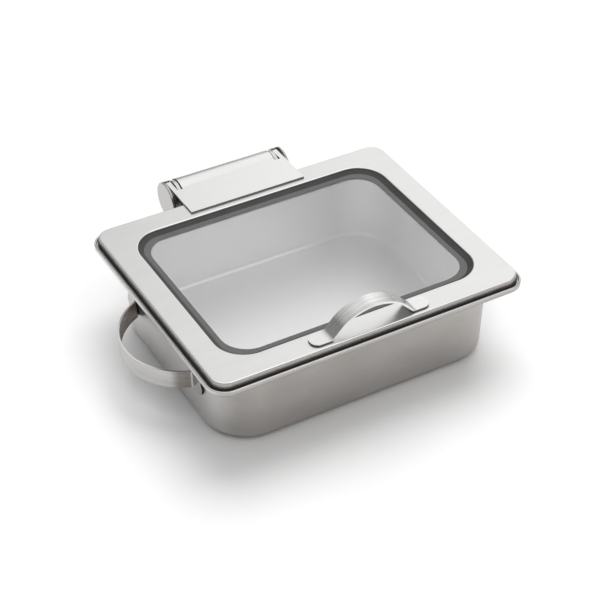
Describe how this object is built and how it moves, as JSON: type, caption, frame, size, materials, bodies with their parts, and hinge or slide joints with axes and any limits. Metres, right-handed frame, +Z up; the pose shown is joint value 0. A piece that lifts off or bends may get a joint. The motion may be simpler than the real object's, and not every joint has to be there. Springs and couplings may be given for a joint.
{
  "type": "chafing dish",
  "caption": "Half-size stainless steel chafing dish with a hinged, damped glass lid, strap handles and a flat base for an induction hob",
  "frame": {"origin": "middle of the flat underside of the induction base, on the table", "axes": "+X along the long side to the right, +Y to the back where the hinge is, +Z up"},
  "size_m": [0.399, 0.3317, 0.1245],
  "materials": {
    "satin_steel": "satin",
    "brushed_lid_steel": "brushed",
    "fastener_steel": "plain",
    "magnetic_steel": "matte",
    "gasket_rubber": "matte",
    "seal_rubber": "matte",
    "clear_glass": "clear",
    "bush_bronze": "machined",
    "damper_plastic": "matte"
  },
  "bodies": {
    "base": {"pan_shell": "satin_steel", "induction_base": "magnetic_steel", "left_side_handle": "satin_steel", "right_side_handle": "satin_steel", "hinge_bracket": "satin_steel", "left_hinge_arm": "brushed_lid_steel", "right_hinge_arm": "brushed_lid_steel", "arm_screws": "fastener_steel", "arm_nuts": "fastener_steel", "hinge_pin": "fastener_steel", "left_damper_rotor": "damper_plastic", "right_damper_rotor": "damper_plastic"},
    "lid": {"lid_frame": "brushed_lid_steel", "glass_gasket": "gasket_rubber", "glass_pane": "clear_glass", "glass_retainer": "satin_steel", "retainer_studs": "fastener_steel", "retainer_nuts": "fastener_steel", "lid_seal": "seal_rubber", "lid_handle": "brushed_lid_steel", "lid_handle_studs": "fastener_steel", "lid_handle_nuts": "fastener_steel", "hinge_leaf": "brushed_lid_steel", "leaf_studs": "fastener_steel", "leaf_nuts": "fastener_steel", "left_end_cap": "brushed_lid_steel", "right_end_cap": "brushed_lid_steel", "left_bush": "bush_bronze", "right_bush": "bush_bronze", "left_damper_housing": "damper_plastic", "right_damper_housing": "damper_plastic"}
  },
  "joints": [
    {"name": "lid_hinge", "type": "hinge", "parent": "base", "child": "lid", "pos_m": [0, 0.1718, 0.0829], "axis": [-1, 0, 0], "range_deg": [0, 95]}
  ]
}
